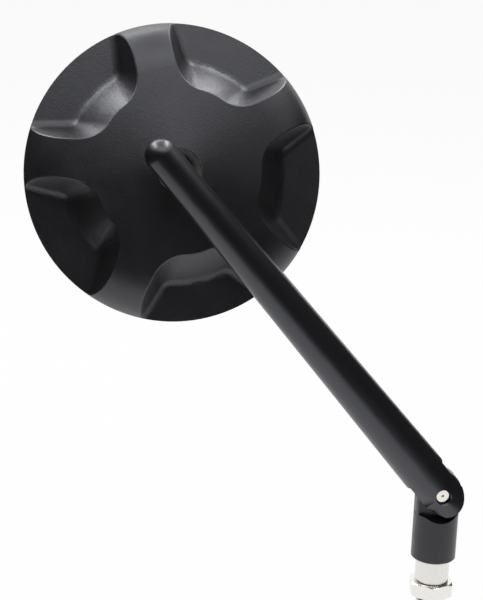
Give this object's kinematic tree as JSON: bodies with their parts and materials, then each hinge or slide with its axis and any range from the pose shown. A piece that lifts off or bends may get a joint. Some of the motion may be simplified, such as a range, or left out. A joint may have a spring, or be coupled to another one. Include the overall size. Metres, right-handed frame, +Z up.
{
  "type": "motorcycle mirror",
  "caption": "Round motorcycle handlebar mirror: domed metal head with scalloped pockets on a ball joint, a tapered folding arm on a fork hinge, and a stem on a threaded stud with a jam nut.",
  "frame": {"origin": "on the mounting stud's axis, at the jam nut's seat", "axes": "+Z up along the stem, hinge pin along Y, the head's back faces -Y and leans up, arm leans to -X"},
  "size_m": [0.1487, 0.0554, 0.2148],
  "materials": {
    "black_billet": "black anodised over a fine bead blast",
    "black_arm": "black anodised over a fine polish",
    "black_stem": "black anodised, satin",
    "bright_steel": "turned stainless steel",
    "pin_steel": "ground stainless steel",
    "bronze": "sintered bearing bronze",
    "friction_lining": "filled polymer washer",
    "seat_plastic": "black acetal",
    "plate_alloy": "as machined",
    "foam": "closed-cell foam tape",
    "silvered_glass": "back-silvered glass with a ground edge"
  },
  "bodies": {
    "stem": {"jam_nut": "bright_steel", "mount_adapter": "bright_steel", "stem": "black_stem", "pivot_bush": "bronze", "front_friction_washer": "friction_lining", "rear_friction_washer": "friction_lining"},
    "arm": {"arm": "black_arm", "pivot_screw": "pin_steel", "pivot_spring_washer": "pin_steel", "ball_stud": "pin_steel"},
    "tilt_seat": {"back_ball_seat": "seat_plastic"},
    "swing_seat": {"front_ball_seat": "seat_plastic"},
    "head": {"head_housing": "black_billet", "pressure_spring": "pin_steel", "retainer_plate": "plate_alloy", "retainer_screws": "pin_steel", "glass_pad": "foam", "mirror_glass": "silvered_glass"}
  },
  "joints": [
    {"name": "arm_fold", "type": "hinge", "parent": "stem", "child": "arm", "pos_m": [0, 0, 0.039], "axis": [0, -1, 0], "range_deg": [-129, 50]},
    {"name": "head_tilt", "type": "hinge", "parent": "arm", "child": "tilt_seat", "pos_m": [-0.09075, 0.019, 0.14639], "axis": [-1, 0, 0], "range_deg": [-36, 3]},
    {"name": "head_swing", "type": "hinge", "parent": "tilt_seat", "child": "swing_seat", "pos_m": [-0.09075, 0.019, 0.14639], "axis": [0, 0.2368, 0.9715], "range_deg": [-4, 18]},
    {"name": "head_spin", "type": "hinge", "parent": "swing_seat", "child": "head", "pos_m": [-0.09075, 0.019, 0.14639], "axis": [0, -0.9715, 0.2368], "continuous": true}
  ]
}
